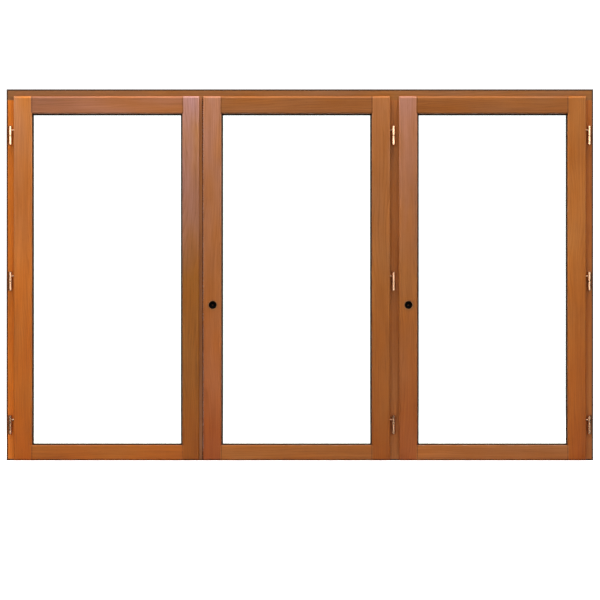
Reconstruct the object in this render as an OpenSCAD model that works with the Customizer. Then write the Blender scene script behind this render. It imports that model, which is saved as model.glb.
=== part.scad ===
// Three-leaf timber casement window, inward opening. Millimetres, +Z up.
// The origin is on the underside of the sill, half way along it and half way through the frame's
// depth. The room is on the -Y side, so the leaves swing towards -Y.
// Leaf 0 (left) hangs on the left jamb and closes against leaf 1 with no post between them.
// Leaf 1 (middle) hangs on the mullion, and leaf 2 (right) hangs on the right jamb.

/* [Frame] */
// Overall width of the frame
frame_w = 2350; // [2000:10:2600]
// Overall height of the frame
frame_h = 1487; // [1200:1:1800]
// Depth of the head, jambs and mullion from room side to outside
frame_depth = 68; // [64:1:80]
// Width of jamb left in sight beside a closed leaf
jamb_strip = 30; // [28:1:40]
// Height of head left in sight above a closed leaf
head_strip = 29; // [28:1:40]
// Width of mullion left in sight between the middle and right leaves
mullion_strip = 36; // [34:1:50]
// Height of sill left in sight under a closed leaf
sill_strip = 4; // [3:1:6]
// Distance of the sill's nose beyond the outer face of the frame
sill_nose = 27; // [15:1:40]

/* [Leaves] */
// Face width of the ordinary stiles
stile_w = 73; // [72:1:90]
// Face width of the left leaf's meeting stile
meeting_stile_w = 67; // [66:1:90]
// Face height of the top rails
top_rail_h = 69; // [68:1:100]
// Face height of the bottom rails
bottom_rail_h = 58; // [58:1:120]
// Thickness of a leaf from room side to outside
leaf_thickness = 68; // [66:1:72]
// How far the leaf's lip stands out from the frame's room face
lip_proud = 18; // [16:1:22]
// Width of the gap between the left and middle leaves, cover strip included
meeting_gap = 16; // [14:1:24]
// Radius of the rounded edge round the glass on the room side
sight_r = 4; // [2:1:5]
// Radius of the rounded edge round a leaf on the room side
lip_r = 5; // [2:1:6]
// Radius of the rounded edge along the top of each leaf
top_lip_r = 8; // [4:1:10]

/* [Hardware] */
// Radius of a hinge barrel
barrel_r = 7.5; // [6.5:0.5:8.5]
// Overall length of a hinge, both halves
hinge_len = 76; // [60:1:100]
// Height of the hinge centres above the sill's underside
hinge_z = [143, 718, 1302]; // [100:1:1400]
// Radius of a hinge pin
pin_r = 4; // [3:0.5:4.5]
// Height of the handle bores above the sill's underside
handle_z = 623; // [400:1:900]
// Distance of a handle bore from the edge of its leaf
handle_inset = 38; // [38:1:40]
// Radius of the hole through a handle bush
bush_bore_r = 16; // [14:0.5:16]
// Side of the square hole that takes the handle's spindle
spindle_square = 7; // [7:1:8]
// Travel of the lock rods and of the flush bolts
bolt_throw = 15; // [10:1:16]

/* [Glazing] */
// Thickness of one glass pane
pane_t = 4; // [4:1:6]
// Space between the two panes
pane_gap = 16; // [12:1:16]
// Thickness of the gaskets on both sides of the glass
gasket_t = 3; // [2:0.5:4]

/* [Hidden] */
$fn = 64;
e = 1;

// How the leaf lies in the frame
lip_overlap = 15;
rebate_gap = 4;
stop_w = 15;
lip_gap = 1;
stop_depth = 38;
body_in = lip_overlap + rebate_gap;
rear_in = body_in + stop_w;

// Levels through the depth, as y
front_y = -frame_depth / 2;
back_y = frame_depth / 2;
leaf_front_y = front_y - lip_proud;
lip_back_y = front_y - lip_gap;
stop_y = front_y + stop_depth;
step_y = stop_y - rebate_gap;
leaf_back_y = leaf_front_y + leaf_thickness;
tongue_back_y = front_y + 4;
glass_front_y = tongue_back_y + gasket_t;
glass_back_y = glass_front_y + 2 * pane_t + pane_gap;
bead_front_y = glass_back_y + gasket_t;
nose_y = back_y + sill_nose;
hinge_y = front_y - 10;
rod_y = front_y + 16;
flush_bolt_y = front_y + 22;

// Levels up the frame, as z
leaf_z = [sill_strip, frame_h - head_strip];
body_z = [leaf_z[0] + body_in, leaf_z[1] - body_in];
rear_z = [leaf_z[0] + rear_in, leaf_z[1] - rear_in];
edge_r = [lip_r, top_lip_r];
land_z = [leaf_z[0] + lip_overlap, leaf_z[1] - lip_overlap];
stop_z = [land_z[0] + stop_w, land_z[1] - stop_w];
open_z = [leaf_z[0] + bottom_rail_h, leaf_z[1] - top_rail_h];

// Levels across the frame, as x, with one value a leaf
half_w = frame_w / 2;
post_w = 2 * jamb_strip + meeting_gap + mullion_strip;
open_w = (frame_w - post_w - 5 * stile_w - meeting_stile_w) / 3;
left_stile_w = [stile_w, stile_w, stile_w];
right_stile_w = [meeting_stile_w, stile_w, stile_w];
leaf_w = [for (i = [0:2]) left_stile_w[i] + open_w + right_stile_w[i]];
leaf_x0 = [
    -half_w + jamb_strip,
    -half_w + jamb_strip + leaf_w[0] + meeting_gap,
    half_w - jamb_strip - leaf_w[2]
];
leaf_x1 = [for (i = [0:2]) leaf_x0[i] + leaf_w[i]];
open_x0 = [for (i = [0:2]) leaf_x0[i] + left_stile_w[i]];
open_x1 = [for (i = [0:2]) leaf_x1[i] - right_stile_w[i]];
mullion_x = leaf_x1[1] + mullion_strip / 2;
land_half = mullion_strip / 2 + lip_overlap;
land_x = half_w - jamb_strip - lip_overlap;
stop_x = land_x - stop_w;

// Joinery
rebate_w = 16;
tenon_y = [-22, -10];
tenon_len = 28;
glue_gap = 0.1;
top_tenon_z = [open_z[1] + rebate_w + 5, body_z[1] - 7];
bottom_tenon_z = [body_z[0] + 4, open_z[0] - rebate_w - 4];
edge_bevel = 3;
strip_w = meeting_gap - rebate_gap;
strip_front_y = leaf_front_y + 10;
fixing_hole_r = 4.25;
fixing_pitch = 330;
fixing_z = [for (i = [-1.5:1.5]) frame_h / 2 + i * fixing_pitch];

// Tenons on the ends of the jambs and the mullion, and the lap at the mullion's foot
jamb_tenon_x = [12, 38];
jamb_tenon_y = [-20, -4];
head_tenon_z = [land_z[1], land_z[1] + 20];
foot_tenon_z = [9, land_z[0]];
sill_tenon_z = [4, 15];
sill_tenon_len = 25;
mullion_tenon_half = 20;
foot_lap_t = 12;

// Hinges
hinge_off = 14;
hinge_x = [leaf_x0[0] - hinge_off, leaf_x1[1] + hinge_off, leaf_x1[2] + hinge_off];
stem_r = 3.5;
stem_len = 36;
stem_drop = 20;
stem_collar = 1;
running_fit = 0.05;
ring_t = 2;
barrel_len = (hinge_len - ring_t) / 2;
pin_depth = 29;
pin_end_gap = 0.5;

// Glass and gaskets, measured from the edge of the opening
glass_in = 12;
gasket_out = 11;
room_gasket_lip = 6.5;
outside_gasket_lip = 2;
spacer_w = 6;
bead_slope = 5;

// Seals and rain bars
stop_seal_w = 8;
stop_seal_in = 2;
rain_bar_t = 2;
rain_bar_lip = 3.5;
meeting_seal_t = 3.4;
meeting_seal_y = [front_y - 6, front_y + 10];
meeting_seal_drop = 32;

// Lock of the middle and right leaves, measured from the edge of the leaf
lock_face = [0, 2, body_in];
plate_t = 2.5;
plate_w = 16;
rod_t = 3.5;
rod_w = 8;
rod_gap = 0.7;
rod_in = plate_t + rod_gap;
rack_t = 6;
rack_tail = 22;
pitch_r = bolt_throw / (PI / 2);
tooth_count = 10;
tooth_pitch = 2 * PI * pitch_r / tooth_count;
tooth_tall = 1.1;
tooth_deep = 1.5;
tooth_half = [1.6, 1.1, 0.6];
journal_r = 8;
case_half = 70;
case_t = 16;
case_wall = 1.5;
case_end = handle_inset + 16.5;
link_z = 30;
link_h = 8;
plate_screws = 6;
plate_screw_in = 60;
bush_r = 17.5;
bush_flange_r = 19;
bush_flange_t = 1.2;
bush_len = 24;

// Flush bolts of the left leaf, and keeps
flush_bolt_r = 4.5;
flush_bolt_in = -3;
flush_bolt_len = 170;
flush_plate_len = 190;
flush_plate_w = 16;
flush_groove_w = 11;
thumb_z = [95, 107];
thumb_w = 5;
thumb_slot = [7, 3];
keep_t = 2.5;
keep_size = [16, 34];
keep_hole_x = [10.4, 8, 8];
keep_hole_len = 13;
keep_pocket_gap = 0.5;
keep_pocket_deep = 12.5;
keep_x = [leaf_x1[0] - flush_bolt_in, leaf_x0[1] + lock_face[1] + rod_in + rod_t / 2,
    leaf_x0[2] + lock_face[2] + rod_in + rod_t / 2];
keep_hole_y = [flush_bolt_y, rod_y, rod_y];
keep_mid_y = front_y + stop_depth / 2;
case_y = [rod_y - case_t / 2, rod_y + case_t / 2];
case_z = [handle_z - case_half, handle_z + case_half];
rack_y = [rod_y - rack_t / 2, rod_y + rack_t / 2];
rod_groove_y = [rod_y - rod_w / 2 - rod_gap, rod_y + rod_w / 2 + rod_gap];
keep_screw_y = [for (side = [-1, 1]) keep_mid_y + side * (keep_size[1] / 2 - 3.8)];
screw_r = 1.8;
screw_head_r = 3.4;
screw_len = 10;
screw_gap = 0.05;

// Colours
timber = "#a9672f";
timber_light = "#b8713a";
timber_dark = "#7f4b28";
bronze = "#b98352";
steel = "#a9abad";
dark_rubber = "#2b1a10";

// A box given by its limits along x, y and z
module block(x, y, z) {
    translate([x[0], y[0], z[0]])
        cube([x[1] - x[0], y[1] - y[0], z[1] - z[0]]);
}

// A box grown all round, for a mortise or a recess
module grown_block(x, y, z, gap) {
    block([x[0] - gap, x[1] + gap], [y[0] - gap, y[1] + gap], [z[0] - gap, z[1] + gap]);
}

// An outline given in x and y, raised between two heights
module upright(z, points) {
    translate([0, 0, z[0]])
        linear_extrude(z[1] - z[0])
            polygon(points);
}

// An outline given in y and z, run along x
module run_along_x(x, points) {
    translate([x[0], 0, 0])
        rotate([90, 0, 90])
            linear_extrude(x[1] - x[0])
                polygon(points);
}

// An outline given in x and z, run along y
module run_along_y(y, points) {
    translate([0, y[1], 0])
        rotate([90, 0, 0])
            linear_extrude(y[1] - y[0])
                polygon(points);
}

// A cylinder along y between two depths
module rod_along_y(x, y, z, r) {
    translate([x, y[1], z])
        rotate([90, 0, 0])
            cylinder(r = r, h = y[1] - y[0]);
}

// A cylinder along x between two limits
module rod_along_x(x, y, z, r) {
    translate([x[0], y, z])
        rotate([0, 90, 0])
            cylinder(r = r, h = x[1] - x[0]);
}

// The waste between a square corner and its rounded edge: a bar up z, with the wood on +x and +y
module arris(r, h) {
    difference() {
        translate([-e, -e, 0])
            cube([r + e, r + e, h]);
        translate([r, r, -e])
            cylinder(r = r, h = h + 2 * e);
    }
}

// The waste along a level edge of a leaf's room face: way is 1 where the wood lies above the edge
module level_arris(x, z, way, r) {
    translate([x[0], leaf_front_y, z])
        mirror([0, 0, way > 0 ? 1 : 0])
            rotate([0, 90, 0])
                arris(r, x[1] - x[0]);
}

// Places children drawn from a leaf's edge inwards: side 0 is its left edge and side 1 its right
module from_edge(leaf, side) {
    if (side == 0)
        translate([leaf_x0[leaf], 0, 0])
            children();
    else
        translate([leaf_x1[leaf], 0, 0])
            mirror([1, 0, 0])
                children();
}

// ---------------------------------------------------------------- frame

// The hole that a hinge's frame half screws into
module frame_stem_holes(leaf) {
    for (z = hinge_z)
        rod_along_y(hinge_x[leaf], [front_y - e, front_y + stem_len], z - stem_drop, stem_r + running_fit);
}

// A recess for a keep with the pocket behind it, in the head (end 1) or the sill (end 0)
module keep_recesses(end) {
    for (i = [0:2])
        translate([keep_x[i], 0, land_z[end]])
            mirror([0, 0, end == 1 ? 0 : 1]) {
                keep_block(keep_size[0], keep_mid_y, keep_size[1], [-e, keep_t]);
                keep_block(keep_hole_x[i] + 2 * keep_pocket_gap, keep_hole_y[i], keep_hole_len,
                    [0, keep_pocket_deep]);
                for (y = keep_screw_y)
                    translate([0, y, 0])
                        cylinder(r = screw_r, h = screw_len + e);
            }
}

// A box of width w about x = 0 and length len about y
module keep_block(w, y, len, z) {
    block([-w / 2, w / 2], [y - len / 2, y + len / 2], z);
}

module frame_head() color(timber) difference() {
    run_along_x([-half_w, half_w], [
        [front_y, land_z[1]], [stop_y, land_z[1]], [stop_y, stop_z[1]],
        [back_y, stop_z[1]], [back_y, frame_h], [front_y, frame_h]]);
    for (side = [0, 1])
        mirror([side, 0, 0])
            translate([-half_w, 0, 0])
                grown_block(jamb_tenon_x, jamb_tenon_y, head_tenon_z, glue_gap);
    translate([mullion_x, 0, 0])
        grown_block([-mullion_tenon_half, mullion_tenon_half], jamb_tenon_y, head_tenon_z, glue_gap);
    keep_recesses(1);
}

module frame_sill() color(timber_dark) difference() {
    union() {
        block([-land_x, land_x], [front_y, stop_y], [0, land_z[0]]);
        block([-stop_x, stop_x], [stop_y, back_y], [0, stop_z[0]]);
        run_along_x([-half_w, half_w], [
            [back_y, 0], [nose_y, 4], [nose_y, 18], [back_y, 30]]);
        for (side = [0, 1])
            mirror([side, 0, 0])
                block([-land_x - sill_tenon_len, -land_x], jamb_tenon_y, sill_tenon_z);
    }
    // drip groove under the nose
    rod_along_x([-half_w - e, half_w + e], nose_y - 9, 1.5, 2.5);
    translate([mullion_x, 0, 0]) {
        grown_block([-mullion_tenon_half, mullion_tenon_half], jamb_tenon_y, foot_tenon_z, glue_gap);
        block([-mullion_strip / 2, mullion_strip / 2], [front_y - e, front_y + foot_lap_t],
            [-e, land_z[0] + e]);
    }
    keep_recesses(0);
}

// A jamb, drawn as the left one and mirrored for the right
module jamb(side) {
    mirror([side, 0, 0]) difference() {
        union() {
            upright([0, land_z[1]], [
                [-half_w, front_y], [-land_x, front_y], [-land_x, stop_y],
                [-stop_x, stop_y], [-stop_x, back_y], [-half_w, back_y]]);
            translate([-half_w, 0, 0])
                block(jamb_tenon_x, jamb_tenon_y, head_tenon_z);
        }
        block([-half_w - e, 0], [stop_y, back_y + e], [stop_z[1], frame_h]);
        grown_block([-land_x - sill_tenon_len, -land_x], jamb_tenon_y, sill_tenon_z, glue_gap);
        for (z = fixing_z)
            rod_along_x([-half_w - e, -land_x + e], flush_bolt_y, z, fixing_hole_r);
        frame_stem_holes(0);
    }
}

module frame_jamb_left() color(timber_light) jamb(0);

module frame_jamb_right() color(timber) jamb(1);

module frame_mullion() color(timber_light) difference() {
    translate([mullion_x, 0, 0]) {
        upright([land_z[0], land_z[1]], [
            [-land_half, front_y], [land_half, front_y], [land_half, stop_y], [land_half + stop_w, stop_y],
            [land_half + stop_w, back_y], [-land_half - stop_w, back_y], [-land_half - stop_w, stop_y],
            [-land_half, stop_y]]);
        block([-mullion_tenon_half, mullion_tenon_half], jamb_tenon_y, [foot_tenon_z[0], head_tenon_z[1]]);
        block([-mullion_strip / 2, mullion_strip / 2], [front_y, front_y + foot_lap_t - glue_gap],
            [0, land_z[0] + e]);
    }
    block([open_x0[1], open_x1[2]], [stop_y, back_y + e], [stop_z[1], frame_h]);
    block([open_x0[1], open_x1[2]], [stop_y, back_y + e], [0, stop_z[0]]);
    frame_stem_holes(1);
}

// One ring of seal on the stop, round an opening that spans x
module stop_seal(x) {
    y = [step_y + 0.5, stop_y];
    inside_x = [x[0] - stop_seal_in, x[1] + stop_seal_in];
    inside_z = [stop_z[0] - stop_seal_in, stop_z[1] + stop_seal_in];
    difference() {
        block([inside_x[0] - stop_seal_w, inside_x[1] + stop_seal_w], y,
            [inside_z[0] - stop_seal_w, inside_z[1] + stop_seal_w]);
        block(inside_x, [y[0] - e, y[1] + e], inside_z);
    }
}

module frame_seals() color(dark_rubber) {
    stop_seal([-stop_x, mullion_x - land_half - stop_w]);
    stop_seal([mullion_x + land_half + stop_w, stop_x]);
}

// A strip of metal over the sill's stop, with a lip that hangs down outside
module rain_bar(x) {
    top = stop_z[0] + rain_bar_t;
    lip_y = [back_y + 2, back_y + 4];
    run_along_x(x, [
        [stop_y + 1, stop_z[0]], [lip_y[0], stop_z[0]], [lip_y[0], stop_z[0] - rain_bar_lip],
        [lip_y[1], stop_z[0] - rain_bar_lip], [lip_y[1], top], [stop_y + 1, top]]);
}

module sill_rain_bars() color(steel) {
    rain_bar([-stop_x + 1, mullion_x - land_half - stop_w - 1]);
    rain_bar([mullion_x + land_half + stop_w + 1, stop_x - 1]);
}

module keep(i) {
    difference() {
        keep_block(keep_size[0], keep_mid_y, keep_size[1], [0, keep_t]);
        keep_block(keep_hole_x[i], keep_hole_y[i], keep_hole_len, [-e, keep_t + e]);
        for (y = keep_screw_y)
            translate([0, y, 0])
                cylinder(r1 = screw_head_r, r2 = screw_r, h = keep_t);
    }
}

// Puts children at every keep, drawn from its face into the wood
module at_keeps() {
    for (end = [0, 1])
        for (i = [0:2])
            translate([keep_x[i], 0, land_z[end]])
                mirror([0, 0, end == 1 ? 0 : 1]) {
                    $keep = i;
                    children();
                }
}

module bolt_keeps() color(bronze) at_keeps() keep($keep);

// Countersunk screws with a slot across the head
module keep_screws() color(bronze) at_keeps() {
    for (y = keep_screw_y)
        translate([0, y, 0]) difference() {
            union() {
                cylinder(r1 = screw_head_r - screw_gap, r2 = screw_r - screw_gap, h = keep_t);
                cylinder(r = screw_r - screw_gap, h = screw_len);
            }
            block([-screw_head_r, screw_head_r], [-0.4, 0.4], [-e, 0.8]);
        }
}

// ---------------------------------------------------------------- hinges

// A barrel with chamfered ends, from z = 0 up
module barrel(h, bore_h) {
    chamfer = 1.2;
    difference() {
        rotate_extrude()
            polygon([
                [0, 0], [barrel_r - 0.5, 0], [barrel_r, 0.5], [barrel_r, h - chamfer],
                [barrel_r - chamfer, h], [0, h]]);
        translate([0, 0, -e])
            cylinder(r = pin_r + running_fit, h = bore_h + e);
    }
}

// The lower half of a hinge, with its stem in the frame
module frame_half(leaf, z) {
    translate([hinge_x[leaf], hinge_y, z - ring_t / 2])
        mirror([0, 0, 1])
            barrel(barrel_len, pin_depth + pin_end_gap);
    root_y = hinge_y + barrel_r - 1.5;
    rod_along_y(hinge_x[leaf], [root_y, front_y + stem_len - 0.5], z - stem_drop, stem_r);
    rod_along_y(hinge_x[leaf], [root_y, front_y], z - stem_drop, stem_r + stem_collar);
}

module hinge_frame_halves() color(bronze) {
    for (leaf = [0:2])
        for (z = hinge_z)
            frame_half(leaf, z);
}

module hinge_pins() color(steel) {
    for (leaf = [0:2])
        for (z = hinge_z)
            translate([hinge_x[leaf], hinge_y, z - ring_t / 2 - pin_depth])
                cylinder(r = pin_r, h = ring_t + 2 * pin_depth);
}

module hinge_bearing_rings() color("#c9a15a") {
    for (leaf = [0:2])
        for (z = hinge_z)
            translate([hinge_x[leaf], hinge_y, z - ring_t / 2]) difference() {
                cylinder(r = barrel_r - 0.3, h = ring_t - running_fit);
                translate([0, 0, -e])
                    cylinder(r = pin_r + running_fit, h = ring_t + 2 * e);
            }
}

// The halves on one leaf, drawn from the hinge edge inwards
module leaf_hinge_halves() {
    root_x = -hinge_off + barrel_r - 1.5;
    for (z = hinge_z) {
        translate([-hinge_off, hinge_y, z + ring_t / 2])
            barrel(barrel_len, pin_depth + pin_end_gap);
        rod_along_x([root_x, stem_len - 0.5], hinge_y, z + stem_drop, stem_r);
        rod_along_x([root_x, 0], hinge_y, z + stem_drop, stem_r + stem_collar);
    }
}

// ---------------------------------------------------------------- leaf joinery

// Cuts the top and bottom ends of a stile to the steps of the frame's rebate
module cut_stile_ends() {
    difference() {
        children();
        for (end = [0, 1]) {
            lo = end == 1 ? body_z[1] : -frame_h;
            hi = end == 1 ? frame_h : body_z[0];
            rear_lo = end == 1 ? rear_z[1] : -frame_h;
            rear_hi = end == 1 ? frame_h : rear_z[0];
            block([-stile_w, 2 * stile_w], [lip_back_y, leaf_back_y + e], [lo, hi]);
            block([-stile_w, 2 * stile_w], [step_y, leaf_back_y + e], [rear_lo, rear_hi]);
        }
    }
}

// What a stile loses to the rails and to its rounded edges
module stile_waste(w) {
    for (end = [0, 1]) {
        up = end == 1 ? 1 : -1;
        z0 = open_z[end];
        tenon_z = end == 1 ? top_tenon_z : bottom_tenon_z;
        run_along_y([leaf_front_y - e, tongue_back_y + e], [
            [w + e, z0 - up * e], [w - sight_r, z0 + up * sight_r],
            [w - sight_r, z0 + up * 2 * stile_w], [w + e, z0 + up * 2 * stile_w]]);
        grown_block([w - rebate_w - tenon_len, w - rebate_w + e], tenon_y, tenon_z, glue_gap);
        level_arris([-e, w + e], leaf_z[end], -up, edge_r[end]);
    }
    translate([0, leaf_front_y, 0])
        arris(lip_r, frame_h);
    translate([w, leaf_front_y, 0])
        mirror([1, 0, 0])
            arris(sight_r, frame_h);
}

// A stile with a lip over the frame, drawn from the edge of the leaf inwards
module lipped_stile(w) {
    cut_stile_ends()
        difference() {
            upright(leaf_z, [
                [0, leaf_front_y], [w, leaf_front_y], [w, tongue_back_y], [w - rebate_w, tongue_back_y],
                [w - rebate_w, leaf_back_y], [rear_in, leaf_back_y], [rear_in, step_y], [body_in, step_y],
                [body_in, lip_back_y], [0, lip_back_y]]);
            stile_waste(w);
        }
}

// A stile at the meeting of two leaves, with its edge bevelled back
module meeting_stile(w, bevel) {
    cut_stile_ends()
        difference() {
            upright(leaf_z, [
                [0, leaf_front_y], [w, leaf_front_y], [w, tongue_back_y], [w - rebate_w, tongue_back_y],
                [w - rebate_w, leaf_back_y], [bevel, leaf_back_y]]);
            stile_waste(w);
        }
}

module hinge_stile() {
    difference() {
        lipped_stile(stile_w);
        for (z = hinge_z)
            rod_along_x([-e, stem_len], hinge_y, z + stem_drop, stem_r + running_fit);
    }
}

// One rail of a leaf, at its bottom (end 0) or its top (end 1)
module rail(leaf, end) {
    up = end == 1 ? 1 : -1;
    x0 = open_x0[leaf];
    x1 = open_x1[leaf];
    z0 = open_z[end];
    tenon_z = end == 1 ? top_tenon_z : bottom_tenon_z;
    difference() {
        union() {
            run_along_x([x0 - rebate_w, x1 + rebate_w], [
                [leaf_front_y, z0], [tongue_back_y, z0], [tongue_back_y, z0 + up * rebate_w],
                [leaf_back_y, z0 + up * rebate_w], [leaf_back_y, rear_z[end]], [step_y, rear_z[end]],
                [step_y, body_z[end]], [lip_back_y, body_z[end]], [lip_back_y, leaf_z[end]],
                [leaf_front_y, leaf_z[end]]]);
            block([x0 - rebate_w - tenon_len, x1 + rebate_w + tenon_len], tenon_y, tenon_z);
        }
        for (side = [0, 1])
            translate([side == 0 ? x0 : x1, 0, 0])
                mirror([side, 0, 0])
                    run_along_y([leaf_front_y - e, tongue_back_y], [
                        [e, z0 - up * e], [-sight_r, z0 + up * sight_r], [-sight_r, z0 + up * 2 * stile_w],
                        [-rebate_w - e, z0 + up * 2 * stile_w], [-rebate_w - e, z0 - up * e]]);
        level_arris([x0 - stile_w, x1 + stile_w], z0, up, sight_r);
        level_arris([x0 - stile_w, x1 + stile_w], leaf_z[end], -up, edge_r[end]);
    }
}

// ---------------------------------------------------------------- glazing

// A flat rectangular ring round a leaf's opening; out and lip are measured from the opening's edge
module opening_ring(leaf, y, out, lip) {
    difference() {
        block([open_x0[leaf] - out, open_x1[leaf] + out], y, [open_z[0] - out, open_z[1] + out]);
        block([open_x0[leaf] + lip, open_x1[leaf] - lip], [y[0] - e, y[1] + e],
            [open_z[0] + lip, open_z[1] - lip]);
    }
}

// Four beads round the outside of the glass, the top and bottom ones running through
module glazing_beads(leaf) {
    for (end = [0, 1]) {
        up = end == 1 ? 1 : -1;
        z0 = open_z[end];
        run_along_x([open_x0[leaf] - rebate_w, open_x1[leaf] + rebate_w], [
            [bead_front_y, z0], [bead_front_y, z0 + up * rebate_w], [leaf_back_y, z0 + up * rebate_w],
            [leaf_back_y, z0 + up * bead_slope]]);
    }
    for (side = [0, 1])
        translate([side == 0 ? open_x0[leaf] : open_x1[leaf], 0, 0])
            mirror([side, 0, 0])
                upright([open_z[0], open_z[1]], [
                    [0, bead_front_y], [-rebate_w, bead_front_y], [-rebate_w, leaf_back_y],
                    [-bead_slope, leaf_back_y]]);
}

module glass_panes(leaf) {
    for (y = [glass_front_y, glass_back_y - pane_t])
        block([open_x0[leaf] - glass_in, open_x1[leaf] + glass_in], [y, y + pane_t],
            [open_z[0] - glass_in, open_z[1] + glass_in]);
}

module glass_spacer(leaf) {
    out = glass_in - 3;
    opening_ring(leaf, [glass_front_y + pane_t, glass_back_y - pane_t], out, spacer_w - out);
}

module gaskets(leaf) {
    opening_ring(leaf, [tongue_back_y, glass_front_y], gasket_out, room_gasket_lip);
    opening_ring(leaf, [glass_back_y, bead_front_y], gasket_out, outside_gasket_lip);
}

// A drip moulding on the outside of a leaf's bottom rail. inset gives how far the leaf's outside face
// lies in from its edges, left and right
module weather_bar(leaf, inset) {
    x = [leaf_x0[leaf] + inset[0] + 6, leaf_x1[leaf] - inset[1] - 6];
    // the outline starts on the leaf and goes under the bar, round its drip groove and up its slope
    translate([0, leaf_back_y, rear_z[0]])
        run_along_x(x, [
            [0, 3], [8, 3], [8, 6], [12, 6], [12, 2], [16, 2], [16, 9], [3, 24], [0, 24]]);
}

// ---------------------------------------------------------------- lock

// The rods' line, from the edge of the leaf
function rod_x(leaf) = [lock_face[leaf] + rod_in, lock_face[leaf] + rod_in + rod_t];

// What the lock takes out of a lock stile, drawn from the leaf's edge inwards
module lock_mortises(leaf) {
    face = lock_face[leaf];
    z = [body_z[0] - e, body_z[1] + e];
    block([-e, face + plate_t], [rod_y - plate_w / 2, rod_y + plate_w / 2], z);
    block([face, rod_x(leaf)[1] + rod_gap], rod_groove_y, z);
    grown_block([face + plate_t, case_end], case_y, case_z, glue_gap);
    rod_along_y(handle_inset, [leaf_front_y - e, rod_y], handle_z, bush_r + glue_gap);
}

module lock_stile(leaf) {
    difference() {
        if (leaf == 1)
            meeting_stile(left_stile_w[1], edge_bevel);
        else
            lipped_stile(left_stile_w[leaf]);
        lock_mortises(leaf);
    }
}

// The gearbox case: a shallow box with round seats for the follower, open where the rods pass
module lock_case(leaf) {
    face = lock_face[leaf] + plate_t;
    difference() {
        block([face, case_end], case_y, case_z);
        block([face - e, case_end - case_wall], [case_y[0] + case_wall, case_y[1] - case_wall],
            [case_z[0] + case_wall, case_z[1] - case_wall]);
        block([face - e, rod_x(leaf)[1] + rod_gap], rod_groove_y, [case_z[0] - e, case_z[1] + e]);
        rod_along_y(handle_inset, [case_y[0] - e, case_y[1] + e], handle_z, journal_r + running_fit);
    }
}

// One straight-sided tooth, pointing along +x from the centre of the pinion
module pinion_tooth() {
    tip = pitch_r + tooth_tall;
    run_along_y(rack_y, [
        [journal_r - 1, -tooth_half[0]], [pitch_r, -tooth_half[1]], [tip, -tooth_half[2]],
        [tip, tooth_half[2]], [pitch_r, tooth_half[1]], [journal_r - 1, tooth_half[0]]]);
}

// The follower: a pinion between two journals with a square hole for the spindle
module lock_follower() {
    translate([handle_inset, 0, handle_z]) difference() {
        union() {
            rod_along_y(0, case_y, 0, journal_r);
            for (i = [0:tooth_count - 1])
                rotate([0, i * 360 / tooth_count, 0])
                    pinion_tooth();
        }
        block([-spindle_square / 2, spindle_square / 2], [case_y[0] - e, case_y[1] + e],
            [-spindle_square / 2, spindle_square / 2]);
    }
}

// A toothed bar beside the pinion. way is 1 for the bar that goes up and -1 for the one that goes down
module rack(way) {
    back = pitch_r + tooth_deep;
    tip = pitch_r - tooth_tall;
    root_half = tooth_half[0] + 0.1;
    mirror([way > 0 ? 1 : 0, 0, 0])
        mirror([0, 0, way > 0 ? 0 : 1]) {
            block([back, back + rod_t], rack_y, [-rack_tail, link_z + link_h]);
            for (k = [-4:1])
                translate([0, 0, (k + 0.5) * tooth_pitch])
                    run_along_y(rack_y, [
                        [back + 0.5, -root_half], [pitch_r, -tooth_half[1]], [tip, -tooth_half[2]],
                        [tip, tooth_half[2]], [pitch_r, tooth_half[1]], [back + 0.5, root_half]]);
        }
}

// A lock rod with its rack, the link that carries it across, and the bar along the leaf's edge
module lock_rod(leaf, way) {
    x = rod_x(leaf);
    back = pitch_r + tooth_deep;
    link_x = way > 0 ? handle_inset - back : handle_inset + back + rod_t;
    tip = way > 0 ? body_z[1] - e - handle_z : handle_z - body_z[0] - e;
    translate([handle_inset, 0, handle_z])
        rack(way);
    translate([0, 0, handle_z])
        mirror([0, 0, way > 0 ? 0 : 1]) {
            block([x[0], link_x], rack_y, [link_z, link_z + link_h]);
            block(x, [rod_y - rod_w / 2, rod_y + rod_w / 2], [link_z, tip]);
        }
}

module lock_faceplate(leaf) {
    face = lock_face[leaf];
    screw_pitch = (body_z[1] - body_z[0] - 2 * plate_screw_in) / (plate_screws - 1);
    difference() {
        block([face, face + plate_t], [rod_y - plate_w / 2, rod_y + plate_w / 2],
            [body_z[0] + e, body_z[1] - e]);
        for (i = [0:plate_screws - 1])
            rod_along_x([face - e, face + plate_t + e], rod_y,
                body_z[0] + plate_screw_in + i * screw_pitch, screw_r);
    }
}

// The bush that lines the handle's bore, with a thin flange on the leaf's face
module handle_bush() {
    difference() {
        union() {
            rod_along_y(handle_inset, [leaf_front_y, leaf_front_y + bush_len], handle_z, bush_r);
            rod_along_y(handle_inset, [leaf_front_y - bush_flange_t, leaf_front_y], handle_z, bush_flange_r);
        }
        rod_along_y(handle_inset, [leaf_front_y - 2 * e, leaf_front_y + bush_len + e], handle_z, bush_bore_r);
    }
}

// ---------------------------------------------------------------- flush bolts

// What the flush bolts take out of the left leaf's meeting edge
module flush_bolt_mortises() {
    for (end = [0, 1])
        translate([-strip_w, flush_bolt_y, body_z[end]])
            mirror([0, 0, end]) {
                block([-e, strip_w + flush_bolt_in + flush_bolt_r + e],
                    [-flush_groove_w / 2, flush_groove_w / 2], [-e, flush_plate_len]);
                block([-e, plate_t], [-flush_plate_w / 2, flush_plate_w / 2], [-e, flush_plate_len]);
            }
}

// Puts children at the top (end 1) or the bottom (end 0) of the meeting edge, drawn from there inwards
module at_meeting_end(end) {
    translate([0, flush_bolt_y, end == 1 ? body_z[1] - e : body_z[0] + e])
        mirror([0, 0, end])
            children();
}

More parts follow.
